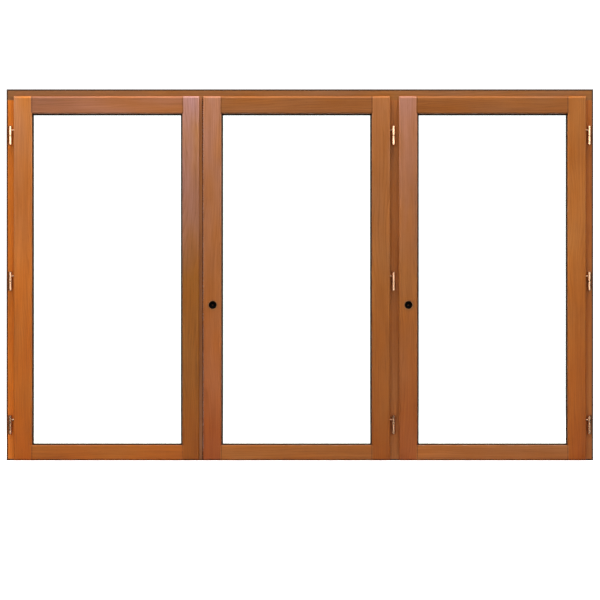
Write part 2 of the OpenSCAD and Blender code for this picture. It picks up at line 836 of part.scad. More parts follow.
// A flush bolt: a round bolt with a thumb piece
module flush_bolt(end) {
    at_meeting_end(end) {
        translate([flush_bolt_in, 0, 0])
            cylinder(r = flush_bolt_r, h = flush_bolt_len);
        block([-strip_w + 0.5, flush_bolt_in - 2], [-thumb_w / 2, thumb_w / 2], thumb_z);
    }
}

module flush_bolt_plates() {
    for (end = [0, 1])
        at_meeting_end(end)
            translate([-strip_w, 0, 0]) difference() {
                block([0, plate_t], [-flush_plate_w / 2, flush_plate_w / 2], [0, flush_plate_len - 2 * e]);
                block([-e, plate_t + e], [-thumb_slot[0] / 2, thumb_slot[0] / 2],
                    [thumb_z[0] - bolt_throw - thumb_slot[1], thumb_z[1] + thumb_slot[1]]);
            }
}

// ---------------------------------------------------------------- left leaf

module left_hinge_stile() color(timber_light) from_edge(0, 0) hinge_stile();

module left_meeting_stile() color(timber) from_edge(0, 1) difference() {
    meeting_stile(meeting_stile_w, 0);
    flush_bolt_mortises();
}

module left_meeting_strip() color(timber_dark) from_edge(0, 1) difference() {
    cut_stile_ends()
        block([-strip_w, 0], [strip_front_y, leaf_back_y], leaf_z);
    flush_bolt_mortises();
}

module left_meeting_seal() color(dark_rubber) from_edge(0, 1)
    block([-strip_w - meeting_seal_t, -strip_w], meeting_seal_y,
        [body_z[0] + e, leaf_z[1] - meeting_seal_drop]);

module left_top_rail() color(timber) rail(0, 1);

module left_bottom_rail() color(timber) rail(0, 0);

module left_glazing_beads() color(timber) glazing_beads(0);

module left_glass_panes() color("lightcyan", 0.3) glass_panes(0);

module left_glass_spacer() color(steel) glass_spacer(0);

module left_gaskets() color(dark_rubber) gaskets(0);

module left_weather_bar() color(timber_dark) weather_bar(0, [rear_in, 0]);

module left_hinge_halves() color(bronze) from_edge(0, 0) leaf_hinge_halves();

module left_upper_flush_bolt() color(bronze) from_edge(0, 1) flush_bolt(1);

module left_lower_flush_bolt() color(bronze) from_edge(0, 1) flush_bolt(0);

module left_flush_bolt_plates() color(bronze) from_edge(0, 1) flush_bolt_plates();

// ---------------------------------------------------------------- middle leaf

module middle_lock_stile() color(timber) from_edge(1, 0) lock_stile(1);

module middle_hinge_stile() color(timber) from_edge(1, 1) hinge_stile();

module middle_top_rail() color(timber) rail(1, 1);

module middle_bottom_rail() color(timber) rail(1, 0);

module middle_glazing_beads() color(timber) glazing_beads(1);

module middle_glass_panes() color("lightcyan", 0.3) glass_panes(1);

module middle_glass_spacer() color(steel) glass_spacer(1);

module middle_gaskets() color(dark_rubber) gaskets(1);

module middle_weather_bar() color(timber_dark) weather_bar(1, [edge_bevel, rear_in]);

module middle_hinge_halves() color(bronze) from_edge(1, 1) leaf_hinge_halves();

module middle_lock_case() color(steel) from_edge(1, 0) lock_case(1);

module middle_lock_follower() color(steel) from_edge(1, 0) lock_follower();

module middle_upper_rod() color(steel) from_edge(1, 0) lock_rod(1, 1);

module middle_lower_rod() color(steel) from_edge(1, 0) lock_rod(1, -1);

module middle_lock_faceplate() color(bronze) from_edge(1, 0) lock_faceplate(1);

module middle_handle_bush() color(bronze) from_edge(1, 0) handle_bush();

// ---------------------------------------------------------------- right leaf

module right_lock_stile() color(timber) from_edge(2, 0) lock_stile(2);

module right_hinge_stile() color(timber_light) from_edge(2, 1) hinge_stile();

module right_top_rail() color(timber) rail(2, 1);

module right_bottom_rail() color(timber) rail(2, 0);

module right_glazing_beads() color(timber) glazing_beads(2);

module right_glass_panes() color("lightcyan", 0.3) glass_panes(2);

module right_glass_spacer() color(steel) glass_spacer(2);

module right_gaskets() color(dark_rubber) gaskets(2);

module right_weather_bar() color(timber_dark) weather_bar(2, [rear_in, rear_in]);

module right_hinge_halves() color(bronze) from_edge(2, 1) leaf_hinge_halves();

module right_lock_case() color(steel) from_edge(2, 0) lock_case(2);

module right_lock_follower() color(steel) from_edge(2, 0) lock_follower();

module right_upper_rod() color(steel) from_edge(2, 0) lock_rod(2, 1);

module right_lower_rod() color(steel) from_edge(2, 0) lock_rod(2, -1);

module right_lock_faceplate() color(bronze) from_edge(2, 0) lock_faceplate(2);

module right_handle_bush() color(bronze) from_edge(2, 0) handle_bush();

frame_head();
frame_sill();
frame_jamb_left();
frame_jamb_right();
frame_mullion();
frame_seals();
sill_rain_bars();
bolt_keeps();
keep_screws();
hinge_frame_halves();
hinge_pins();
hinge_bearing_rings();
left_hinge_stile();
left_meeting_stile();
left_top_rail();
left_bottom_rail();
left_glazing_beads();
left_glass_panes();
left_glass_spacer();
left_gaskets();
left_weather_bar();
left_hinge_halves();
left_meeting_strip();
left_meeting_seal();
left_upper_flush_bolt();
left_lower_flush_bolt();
left_flush_bolt_plates();
middle_lock_stile();
middle_hinge_stile();
middle_top_rail();
middle_bottom_rail();
middle_glazing_beads();
middle_glass_panes();
middle_glass_spacer();
middle_gaskets();
middle_weather_bar();
middle_hinge_halves();
middle_lock_case();
middle_lock_follower();
middle_upper_rod();
middle_lower_rod();
middle_lock_faceplate();
middle_handle_bush();
right_lock_stile();
right_hinge_stile();
right_top_rail();
right_bottom_rail();
right_glazing_beads();
right_glass_panes();
right_glass_spacer();
right_gaskets();
right_weather_bar();
right_hinge_halves();
right_lock_case();
right_lock_follower();
right_upper_rod();
right_lower_rod();
right_lock_faceplate();
right_handle_bush();
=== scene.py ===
"""The looks of a three-leaf timber casement window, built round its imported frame.

Sizes are in metres. +X runs along the window, +Y from the room to the outside and +Z up.
"""

import logging
import math
from dataclasses import dataclass, field
from enum import Enum

import bmesh
import bpy
from mathutils import Matrix, Vector


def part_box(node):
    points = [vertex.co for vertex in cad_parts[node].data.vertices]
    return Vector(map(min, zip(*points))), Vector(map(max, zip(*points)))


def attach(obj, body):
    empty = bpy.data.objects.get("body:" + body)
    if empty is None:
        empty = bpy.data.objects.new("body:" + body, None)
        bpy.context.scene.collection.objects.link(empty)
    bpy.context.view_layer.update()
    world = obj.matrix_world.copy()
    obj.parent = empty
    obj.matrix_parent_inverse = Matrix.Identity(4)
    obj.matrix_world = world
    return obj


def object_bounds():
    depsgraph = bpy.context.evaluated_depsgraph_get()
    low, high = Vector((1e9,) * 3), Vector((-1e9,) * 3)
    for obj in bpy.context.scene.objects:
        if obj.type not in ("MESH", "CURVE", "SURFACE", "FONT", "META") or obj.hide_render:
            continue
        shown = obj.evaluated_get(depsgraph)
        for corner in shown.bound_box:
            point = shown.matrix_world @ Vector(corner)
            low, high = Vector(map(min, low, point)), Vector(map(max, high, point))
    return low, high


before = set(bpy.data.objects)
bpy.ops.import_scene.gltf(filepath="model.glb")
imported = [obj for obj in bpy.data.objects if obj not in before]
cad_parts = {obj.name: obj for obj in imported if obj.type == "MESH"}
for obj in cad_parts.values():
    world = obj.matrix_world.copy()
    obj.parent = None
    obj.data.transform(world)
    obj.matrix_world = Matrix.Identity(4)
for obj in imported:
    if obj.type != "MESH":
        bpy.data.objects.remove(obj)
CAD_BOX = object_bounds()

log = logging.getLogger("window")

Rgb = tuple[float, float, float]
Socket = bpy.types.NodeSocket
Feed = Socket | float | int | bool | tuple | Vector

# Widths of bands on the timber, how far a rail's tenon reaches behind the joint line, and the depths
# between which the weathering sets in
TENON_IN = 0.044
JOINT_LINE = 0.0022
# width of the painted shade round the frame's outer edge
EDGE_SHADE_BAND = 0.0060
WEATHER_Y = (0.0, 0.05)
DARK_GLUE: Rgb = (66, 34, 14)
# colour of the painted shade round the frame's outer edge
EDGE_SHADE_COLOUR: Rgb = (34, 15, 6)
WEATHERED: Rgb = (150, 112, 80)

# How the pale floor looks when polished metal mirrors it
FLOOR_IN_POLISH: Rgb = (84, 74, 66)


def linear(rgb: Rgb) -> tuple[float, float, float, float]:
    """Turns a display colour into scene-linear light.

    Args:
        rgb: Red, green and blue as displayed, each from 0 to 255.

    Returns:
        The linear colour with an alpha of 1.
    """
    parts = []
    for part in rgb:
        c = max(part, 0.0) / 255.0
        parts.append(c / 12.92 if c <= 0.04045 else ((c + 0.055) / 1.055) ** 2.4)
    return (parts[0], parts[1], parts[2], 1.0)


# ---------------------------------------------------------------- node graphs


class Graph:
    """A node tree being filled in, with short calls to add and join nodes."""

    def __init__(self, tree: bpy.types.NodeTree) -> None:
        """Takes over a node tree."""
        self.tree = tree

    def add(
        self, kind: str, feeds: dict[str | int, Feed] | None = None, **settings: object
    ) -> bpy.types.Node:
        """Adds a node.

        Args:
            kind: The node's type name.
            feeds: What goes into its sockets, as values or as other nodes' outputs.
            settings: The node's own properties.

        Returns:
            The new node.
        """
        node = self.tree.nodes.new(kind)
        for name, value in settings.items():
            setattr(node, name, value)
        for key, value in (feeds or {}).items():
            self.feed(value, node.inputs[key])
        return node

    def feed(self, value: Feed, socket: Socket) -> None:
        """Joins an output to a socket, or sets the socket where the value is plain."""
        if isinstance(value, bpy.types.NodeSocket):
            self.tree.links.new(value, socket)
        else:
            socket.default_value = value

    def math(self, operation: str, a: Feed, b: Feed = 0.0, c: Feed = 0.0) -> Socket:
        """Adds a Math node and returns its result."""
        return self.add("ShaderNodeMath", {0: a, 1: b, 2: c}, operation=operation).outputs[0]

    def vector(self, operation: str, a: Feed, b: Feed) -> Socket:
        """Adds a Vector Math node and returns its vector."""
        return self.add("ShaderNodeVectorMath", {0: a, 1: b}, operation=operation).outputs[0]

    def span(self, value: Feed, low: Feed, high: Feed, to_low: float = 0.0, to_high: float = 1.0) -> Socket:
        """Maps a value smoothly from one span onto another and clamps it.

        Args:
            value: The value to map.
            low: Where the span starts.
            high: Where the span ends.
            to_low: The result at the start.
            to_high: The result at the end.

        Returns:
            The mapped value.
        """
        feeds = {"Value": value, "From Min": low, "From Max": high, "To Min": to_low, "To Max": to_high}
        return self.add("ShaderNodeMapRange", feeds, interpolation_type="SMOOTHSTEP").outputs["Result"]

    def mix(self, factor: Feed, a: Feed, b: Feed, blend: str = "MIX") -> Socket:
        """Mixes two colours.

        Args:
            factor: How much of the second colour shows.
            a: The first colour.
            b: The second colour.
            blend: The blend type.

        Returns:
            The mixed colour.
        """
        node = self.add("ShaderNodeMix", data_type="RGBA", blend_type=blend, clamp_factor=True)
        self.feed(factor, node.inputs["Factor"])
        self.feed(a, node.inputs[6])
        self.feed(b, node.inputs[7])
        return node.outputs[2]

    def noise(self, at: Feed, scale: Feed, detail: float = 2.0, roughness: float = 0.5) -> Socket:
        """Adds a noise texture and returns its value."""
        feeds = {"Vector": at, "Scale": scale, "Detail": detail, "Roughness": roughness}
        return self.add("ShaderNodeTexNoise", feeds).outputs["Fac"]

    def group(self, shared: bpy.types.NodeTree, feeds: dict[str, Feed]) -> bpy.types.Node:
        """Places a shared node group with its own values."""
        node = self.tree.nodes.new("ShaderNodeGroup")
        node.node_tree = shared
        for key, value in feeds.items():
            self.feed(value, node.inputs[key])
        return node


class PortKind(Enum):
    """The kinds of socket on a shared node group."""

    VALUE = "NodeSocketFloat"
    COLOUR = "NodeSocketColor"
    VECTOR = "NodeSocketVector"


class SharedEffect:
    """A node group that several materials use, with named ways in and out."""

    def __init__(self, name: str, ways_in: dict[str, PortKind], ways_out: dict[str, PortKind]) -> None:
        """Makes the empty group with its sockets."""
        self.tree = bpy.data.node_groups.new(name, "ShaderNodeTree")
        for label, kind in ways_in.items():
            self.tree.interface.new_socket(label, in_out="INPUT", socket_type=kind.value)
        for label, kind in ways_out.items():
            self.tree.interface.new_socket(label, in_out="OUTPUT", socket_type=kind.value)
        self.graph = Graph(self.tree)
        self._start = self.tree.nodes.new("NodeGroupInput")
        self._end = self.tree.nodes.new("NodeGroupOutput")

    def way_in(self, label: str) -> Socket:
        """The value that comes in under a label."""
        return self._start.outputs[label]

    def way_out(self, label: str, value: Feed) -> None:
        """Sends a value out under a label."""
        self.graph.feed(value, self._end.inputs[label])


def make_timber_figure() -> bpy.types.NodeTree:
    """Builds the grain of sawn, varnished softwood, with its fibres along the group's Z.

    Returns:
        The shared group.
    """
    kinds = PortKind
    effect = SharedEffect(
        "Timber figure",
        {
            "Position": kinds.VECTOR,
            "Seed": kinds.VALUE,
            "Base": kinds.COLOUR,
            "Ring Width": kinds.VALUE,
            "Ring Depth": kinds.VALUE,
            "Cloud Depth": kinds.VALUE,
            "Fibre Depth": kinds.VALUE,
        },
        {"Colour": kinds.COLOUR, "Roughness Shift": kinds.VALUE, "Height": kinds.VALUE},
    )
    g = effect.graph
    seed = g.add("ShaderNodeCombineXYZ", {
        "X": g.math("MULTIPLY", effect.way_in("Seed"), 0.731),
        "Y": g.math("MULTIPLY", effect.way_in("Seed"), 0.417),
        "Z": g.math("MULTIPLY", effect.way_in("Seed"), 1.913),
    }).outputs[0]
    here = g.vector("ADD", effect.way_in("Position"), seed)

    # slow clouds of lighter and darker wood, drawn out along the grain
    clouds = g.noise(g.vector("MULTIPLY", here, (1.0, 1.0, 0.10)), 16.0, 3.0)
    patches = g.noise(g.vector("MULTIPLY", here, (1.0, 1.0, 0.35)), 5.0, 2.0)

    # growth rings: each one darkens towards its late wood and then ends sharply
    drift = g.noise(g.vector("MULTIPLY", here, (1.0, 1.0, 0.16)), 8.0, 2.0, 0.4)
    parts = g.add("ShaderNodeSeparateXYZ", {0: here})
    across = g.math("ADD", parts.outputs["X"], g.math("MULTIPLY", parts.outputs["Y"], 0.55))
    wander = g.noise(g.vector("MULTIPLY", here, (1.0, 1.0, 0.05)), 26.0, 2.0)
    bent = g.math("MULTIPLY_ADD", wander, 0.035, g.math("MULTIPLY_ADD", drift, 0.11, across))
    turn = g.math("FRACT", g.math("DIVIDE", bent, effect.way_in("Ring Width")))
    late = g.math("POWER", turn, 2.6)
    soft_end = g.span(turn, 0.93, 1.0, 1.0, 0.0)
    ring = g.math("MULTIPLY", g.math("MULTIPLY", late, soft_end), g.span(clouds, 0.3, 0.7, 0.35, 1.0))

    # streaks a few rings wide, and a slow turn of hue between pink and orange
    streaks = g.noise(g.vector("MULTIPLY", here, (1.0, 1.0, 0.045)), 95.0, 3.0, 0.6)
    hue = g.noise(g.vector("MULTIPLY", here, (1.0, 1.0, 0.30)), 11.0, 2.0)

    # fibres and short pores
    fibres = g.noise(g.vector("MULTIPLY", here, (1.0, 1.0, 0.018)), 620.0, 2.0, 0.6)
    pores = g.noise(g.vector("MULTIPLY", here, (1.0, 1.0, 0.05)), 900.0, 1.0)
    pore = g.span(pores, 0.60, 0.74)

    cloud_tone = g.math("MULTIPLY", g.math("SUBTRACT", clouds, 0.5), effect.way_in("Cloud Depth"))
    patch_tone = g.math("MULTIPLY", g.math("SUBTRACT", patches, 0.5), effect.way_in("Cloud Depth"))
    streak_tone = g.math("MULTIPLY", g.math("SUBTRACT", streaks, 0.5), effect.way_in("Cloud Depth"))
    ring_tone = g.math("MULTIPLY", g.math("SUBTRACT", 0.26, ring), effect.way_in("Ring Depth"))
    fibre_tone = g.math("MULTIPLY", g.math("SUBTRACT", fibres, 0.5), effect.way_in("Fibre Depth"))
    pore_tone = g.math("MULTIPLY", pore, g.math("MULTIPLY", effect.way_in("Fibre Depth"), -0.45))
    tone = g.math("ADD", g.math("ADD", cloud_tone, patch_tone), g.math("ADD", ring_tone, fibre_tone))
    tone = g.math("ADD", g.math("ADD", tone, g.math("ADD", pore_tone, streak_tone)), 1.0)
    pink = g.math("SUBTRACT", hue, 0.5)

    # deeper wood is redder as well as darker
    red = g.math("POWER", tone, 0.85)
    green = g.math("MULTIPLY", tone, g.math("MULTIPLY_ADD", pink, 0.45, 1.0))
    blue = g.math("MULTIPLY", g.math("POWER", tone, 1.30), g.math("MULTIPLY_ADD", pink, 2.2, 1.0))
    tint = g.add("ShaderNodeCombineColor", {0: red, 1: green, 2: blue}).outputs[0]
    effect.way_out("Colour", g.mix(1.0, effect.way_in("Base"), tint, "MULTIPLY"))
    effect.way_out("Roughness Shift", g.math("MULTIPLY_ADD", fibres, 0.10, g.math("MULTIPLY", pore, 0.10)))
    height = g.math("SUBTRACT", g.math("MULTIPLY", fibres, 0.5), g.math("MULTIPLY", pore, 0.7))
    effect.way_out("Height", g.math("ADD", height, g.math("MULTIPLY", ring, 0.35)))
    return effect.tree


def make_stain_and_sheen_fade() -> bpy.types.NodeTree:
    """Builds the slow change of a member's colour from its foot to its top: its stain, with painted sheen in
    the paler, pinker top tones.

    Returns:
        The shared group.
    """
    kinds = PortKind
    effect = SharedEffect(
        "Stain and painted sheen by height",
        {"Position": kinds.VECTOR, "Low": kinds.VALUE, "High": kinds.VALUE,
         "Foot": kinds.COLOUR, "Middle": kinds.COLOUR, "Top": kinds.COLOUR},
        {"Colour": kinds.COLOUR},
    )
    g = effect.graph
    z = g.add("ShaderNodeSeparateXYZ", {0: effect.way_in("Position")}).outputs["Z"]
    half = g.math("MULTIPLY", g.math("ADD", effect.way_in("Low"), effect.way_in("High")), 0.5)
    lower = g.add("ShaderNodeMapRange", {0: z, 1: effect.way_in("Low"), 2: half}).outputs[0]
    upper = g.add("ShaderNodeMapRange", {0: z, 1: half, 2: effect.way_in("High")}).outputs[0]
    colour = g.mix(lower, effect.way_in("Foot"), effect.way_in("Middle"))
    effect.way_out("Colour", g.mix(upper, colour, effect.way_in("Top")))
    return effect.tree


def make_edge_shade() -> bpy.types.NodeTree:
    """Builds the mask of the dark band of painted shade round the outer edge of the frame.

    Returns:
        The shared group.
    """
    kinds = PortKind
    effect = SharedEffect(
        "Painted edge shade",
        {"Position": kinds.VECTOR, "Half Width": kinds.VALUE, "Height": kinds.VALUE, "Band": kinds.VALUE},
        {"Mask": kinds.VALUE},
    )
    g = effect.graph
    parts = g.add("ShaderNodeSeparateXYZ", {0: effect.way_in("Position")})
    to_side = g.math("SUBTRACT", effect.way_in("Half Width"), g.math("ABSOLUTE", parts.outputs["X"]))
    to_top = g.math("SUBTRACT", effect.way_in("Height"), parts.outputs["Z"])
    nearest = g.math("MINIMUM", g.math("MINIMUM", to_side, to_top), parts.outputs["Z"])
    ragged = g.math("MULTIPLY_ADD", g.noise(effect.way_in("Position"), 60.0, 3.0), 0.0022, -0.0011)
    nearest = g.math("ADD", nearest, ragged)
    band = effect.way_in("Band")
    full, none = g.math("MULTIPLY", band, 0.75), g.math("MULTIPLY", band, 1.2)
    effect.way_out("Mask", g.span(nearest, full, none, 1.0, 0.0))
    return effect.tree


def make_joint_line() -> bpy.types.NodeTree:
    """Builds the mask of the dark glue line where a rail butts against its stiles.

    Returns:
        The shared group.
    """
    kinds = PortKind
    effect = SharedEffect(
        "Joint line",
        {"Position": kinds.VECTOR, "Low X": kinds.VALUE, "High X": kinds.VALUE, "Width": kinds.VALUE},
        {"Mask": kinds.VALUE},
    )
    g = effect.graph
    x = g.add("ShaderNodeSeparateXYZ", {0: effect.way_in("Position")}).outputs["X"]
    to_low = g.math("ABSOLUTE", g.math("SUBTRACT", x, effect.way_in("Low X")))
    to_high = g.math("ABSOLUTE", g.math("SUBTRACT", x, effect.way_in("High X")))
    nearest = g.math("MINIMUM", to_low, to_high)
    width = effect.way_in("Width")
    line = g.span(nearest, g.math("MULTIPLY", width, 0.5), width, 1.0, 0.0)
    uneven = g.span(g.noise(effect.way_in("Position"), 45.0, 2.0), 0.35, 0.6, 0.55, 1.0)
    effect.way_out("Mask", g.math("MULTIPLY", line, uneven))
    return effect.tree


def make_weathering() -> bpy.types.NodeTree:
    """Builds the mask of what sun and rain have done to the outside faces.

    Returns:
        The shared group.
    """
    kinds = PortKind
    effect = SharedEffect(
        "Weathering",
        {"Position": kinds.VECTOR, "Start": kinds.VALUE, "End": kinds.VALUE},
        {"Mask": kinds.VALUE},
    )
    g = effect.graph
    parts = g.add("ShaderNodeSeparateXYZ", {0: effect.way_in("Position")})
    outside = g.span(parts.outputs["Y"], effect.way_in("Start"), effect.way_in("End"))
    low_down = g.span(parts.outputs["Z"], 0.0, 0.5, 1.0, 0.45)
    blotches = g.span(g.noise(effect.way_in("Position"), 22.0, 4.0), 0.35, 0.7, 0.3, 1.0)
    effect.way_out("Mask", g.math("MULTIPLY", g.math("MULTIPLY", outside, low_down), blotches))
    return effect.tree


def make_metal_wear() -> bpy.types.NodeTree:
    """Builds fingermarks, fine scratches and dull patches on metal.

    Returns:
        The shared group.
    """
    kinds = PortKind
    effect = SharedEffect(
        "Metal wear",
        {"Position": kinds.VECTOR, "Patch Scale": kinds.VALUE, "Scratch Scale": kinds.VALUE},
        {"Tarnish": kinds.VALUE, "Scratches": kinds.VALUE},
    )
    g = effect.graph
    patches = g.noise(effect.way_in("Position"), effect.way_in("Patch Scale"), 4.0, 0.6)
    effect.way_out("Tarnish", g.span(patches, 0.42, 0.68))
    slanted = g.vector("MULTIPLY", effect.way_in("Position"), (1.0, 0.6, 0.08))
    scratches = g.noise(slanted, effect.way_in("Scratch Scale"), 1.0)
    effect.way_out("Scratches", g.span(scratches, 0.58, 0.70))
    return effect.tree


def make_dust() -> bpy.types.NodeTree:
    """Builds the film of dust that settles on rubber and in its corners.

    Returns:
        The shared group.
    """
    kinds = PortKind
    effect = SharedEffect(
        "Dust film",
        {"Position": kinds.VECTOR, "Scale": kinds.VALUE, "Cover": kinds.VALUE},
        {"Mask": kinds.VALUE, "Height": kinds.VALUE},
    )
    g = effect.graph
    film = g.noise(effect.way_in("Position"), effect.way_in("Scale"), 5.0, 0.7)
    effect.way_out("Mask", g.math("MULTIPLY", g.span(film, 0.45, 0.75), effect.way_in("Cover")))
    effect.way_out("Height", g.noise(effect.way_in("Position"), 2400.0, 2.0))
    return effect.tree


@dataclass
class Effects:
    """The shared node groups, each built once."""

    figure: bpy.types.NodeTree = field(default_factory=make_timber_figure)
    fade: bpy.types.NodeTree = field(default_factory=make_stain_and_sheen_fade)
    # painted shade round the frame's outer edge
    edge_shade: bpy.types.NodeTree = field(default_factory=make_edge_shade)
    joint: bpy.types.NodeTree = field(default_factory=make_joint_line)
    weathering: bpy.types.NodeTree = field(default_factory=make_weathering)
    wear: bpy.types.NodeTree = field(default_factory=make_metal_wear)
    dust: bpy.types.NodeTree = field(default_factory=make_dust)


# ---------------------------------------------------------------- finishes


def new_material(name: str) -> tuple[bpy.types.Material, Graph, bpy.types.Node, Socket]:
    """Starts a node material.

    Args:
        name: The material's name.

    Returns:
        The material, its graph, its Principled shader and the object's own coordinates.
    """
    material = bpy.data.materials.new(name)
    material.use_nodes = True
    material.node_tree.nodes.clear()
    g = Graph(material.node_tree)
    shader = g.add("ShaderNodeBsdfPrincipled")
    g.add("ShaderNodeOutputMaterial", {"Surface": shader.outputs[0]})
    position = g.add("ShaderNodeTexCoord").outputs["Object"]
    return material, g, shader, position


class Grain(Enum):
    """Which way the fibres of a member run."""

    UPRIGHT = "z"
    LEVEL = "x"


@dataclass(frozen=True)
class TimberFinish:
    """Stained and varnished softwood on one member of the window, with painted sheen in its top tones and, on
    the frame, painted shade along its outer edge.
    """

    name: str
    # the member's colours at its top, middle and foot: its stain, with painted sheen in the top tones
    top: Rgb
    middle: Rgb
    foot: Rgb
    grain: Grain
    seed: float
    ring_width: float = 0.0085
    ring_depth: float = 0.34
    cloud_depth: float = 0.62
    fibre_depth: float = 0.42
    # whether the member gets painted shade along the frame's outer edge, and how dark
    shaded_edge: bool = False
    edge_shade_depth: float = 0.95
    joints: bool = False
    glue_depth: float = 0.62
    roughness: float = 0.33
    bump: float = 0.22
    bump_height: float = 0.00025
    shine: float = 0.22
    varnish: float = 0.08
    varnish_roughness: float = 0.22

    def build(self, effects: Effects, low: Vector, high: Vector) -> bpy.types.Material:
        """Makes the material for a member.

        Args:
            effects: The shared node groups.
            low: The member's lowest corner.
            high: The member's highest corner.

        Returns:
            The material.
        """
        material, g, shader, position = new_material(self.name)
        # stain by height, with the painted sheen that the top tones carry
        stain_and_sheen = g.group(effects.fade, {
            "Position": position, "Low": low.z, "High": high.z,
            "Foot": linear(self.foot), "Middle": linear(self.middle), "Top": linear(self.top),
        }).outputs["Colour"]
        along = position
        if self.grain is Grain.LEVEL:
            quarter_turn = {"Vector": position, "Rotation": (0.0, math.pi / 2, 0.0)}
            along = g.add("ShaderNodeMapping", quarter_turn).outputs[0]
        figure = g.group(effects.figure, {
            "Position": along, "Seed": self.seed, "Base": stain_and_sheen, "Ring Width": self.ring_width,
            "Ring Depth": self.ring_depth, "Cloud Depth": self.cloud_depth, "Fibre Depth": self.fibre_depth,
        })
        colour = figure.outputs["Colour"]
        if self.joints:
            line = g.group(effects.joint, {
                "Position": position, "Width": JOINT_LINE,
                "Low X": low.x + TENON_IN, "High X": high.x - TENON_IN,
            }).outputs["Mask"]
            colour = g.mix(g.math("MULTIPLY", line, self.glue_depth), colour, linear(DARK_GLUE))
        # painted shade: the frame's outer edge darkened in a narrow, ragged band
        if self.shaded_edge:
            edge_shaded = g.group(effects.edge_shade, {
                "Position": position, "Half Width": CAD_BOX[1].x, "Height": CAD_BOX[1].z, "Band": EDGE_SHADE_BAND,
            }).outputs["Mask"]
            colour = g.mix(g.math("MULTIPLY", edge_shaded, self.edge_shade_depth), colour, linear(EDGE_SHADE_COLOUR))
        weathered = g.group(effects.weathering, {
            "Position": position, "Start": WEATHER_Y[0], "End": WEATHER_Y[1],
        }).outputs["Mask"]
        greyed = g.mix(0.35, colour, linear(WEATHERED))
        colour = g.mix(g.math("MULTIPLY", weathered, 0.6), colour, greyed)
        g.feed(colour, shader.inputs["Base Color"])

        ripple = g.noise(position, 130.0, 2.0)
        roughness = g.math("ADD", figure.outputs["Roughness Shift"], self.roughness)
        roughness = g.math("MULTIPLY_ADD", weathered, 0.18, roughness)
        g.feed(g.math("MULTIPLY_ADD", ripple, 0.05, roughness), shader.inputs["Roughness"])
        height = g.math("MULTIPLY_ADD", ripple, 0.9, figure.outputs["Height"])
        bump = g.add("ShaderNodeBump", {
            "Strength": self.bump, "Distance": self.bump_height, "Height": height,
        })
        g.feed(bump.outputs["Normal"], shader.inputs["Normal"])
        shader.inputs["Specular IOR Level"].default_value = self.shine
        shader.inputs["Coat Weight"].default_value = self.varnish
        shader.inputs["Coat Roughness"].default_value = self.varnish_roughness
        return material


@dataclass(frozen=True)
class MetalFinish:
    """A polished, satin, plated or anodised metal."""

    name: str
    colour: Rgb
    tarnish: Rgb
    roughness: float
    tarnish_depth: float = 0.5
    patch_scale: float = 90.0
    scratch_scale: float = 1500.0
    bump: float = 0.10

    def build(self, effects: Effects) -> bpy.types.Material:
        """Makes the material.

        Args:
            effects: The shared node groups.

        Returns:
            The material.
        """
        material, g, shader, position = new_material(self.name)
        wear = g.group(effects.wear, {
            "Position": position, "Patch Scale": self.patch_scale, "Scratch Scale": self.scratch_scale,
        })
        dull = g.math("MULTIPLY", wear.outputs["Tarnish"], self.tarnish_depth)
        g.feed(g.mix(dull, linear(self.colour), linear(self.tarnish)), shader.inputs["Base Color"])
        roughness = g.math("MULTIPLY_ADD", wear.outputs["Tarnish"], 0.12, self.roughness)
        g.feed(g.math("MULTIPLY_ADD", wear.outputs["Scratches"], 0.10, roughness), shader.inputs["Roughness"])
        bump = g.add("ShaderNodeBump", {
            "Strength": self.bump, "Distance": 0.0001, "Height": wear.outputs["Scratches"],
        })
        g.feed(bump.outputs["Normal"], shader.inputs["Normal"])
        shader.inputs["Metallic"].default_value = 1.0
        return material


@dataclass(frozen=True)
class RubberFinish:
    """Extruded rubber with a film of dust."""

    name: str
    colour: Rgb
    dust: Rgb
    cover: float = 0.30

    def build(self, effects: Effects) -> bpy.types.Material:
        """Makes the material.

        Args:
            effects: The shared node groups.

        Returns:
            The material.
        """
        material, g, shader, position = new_material(self.name)
        film = g.group(effects.dust, {"Position": position, "Scale": 160.0, "Cover": self.cover})
        mask = film.outputs["Mask"]
        g.feed(g.mix(mask, linear(self.colour), linear(self.dust)), shader.inputs["Base Color"])
        g.feed(g.math("MULTIPLY_ADD", mask, 0.3, 0.58), shader.inputs["Roughness"])
        bump = g.add("ShaderNodeBump", {
            "Strength": 0.25, "Distance": 0.0001, "Height": film.outputs["Height"],
        })
        g.feed(bump.outputs["Normal"], shader.inputs["Normal"])
        shader.inputs["Specular IOR Level"].default_value = 0.3
        return material


@dataclass(frozen=True)
class GlassFinish:
    """Clear float glass with the faint waviness and smears of a cleaned pane."""

    name: str
    tint: Rgb

    def build(self, effects: Effects) -> bpy.types.Material:
        """Makes the material.

        Args:
            effects: The shared node groups.

        Returns:
            The material.
        """
        material, g, shader, position = new_material(self.name)
        smear = g.group(effects.wear, {"Position": position, "Patch Scale": 7.0, "Scratch Scale": 60.0})
        clean, wiped = linear(self.tint), linear((246, 250, 248))
        g.feed(g.mix(smear.outputs["Tarnish"], clean, wiped), shader.inputs["Base Color"])
        g.feed(g.math("MULTIPLY", smear.outputs["Scratches"], 0.004), shader.inputs["Roughness"])
        shader.inputs["IOR"].default_value = 1.45
        shader.inputs["Transmission Weight"].default_value = 1.0
        return material


# ---------------------------------------------------------------- meshes


def mesh_object(name: str, form: bmesh.types.BMesh, material: bpy.types.Material) -> bpy.types.Object:
    """Turns a finished mesh into an object in the scene.

    Args:
        name: The object's name.
        form: The mesh, which is freed.
        material: What it is made of.

    Returns:
        The object.
    """
    bmesh.ops.recalc_face_normals(form, faces=form.faces)
    data = bpy.data.meshes.new(name)
    form.to_mesh(data)
    form.free()
    data.materials.append(material)
    piece = bpy.data.objects.new(name, data)
    bpy.context.scene.collection.objects.link(piece)
    return piece


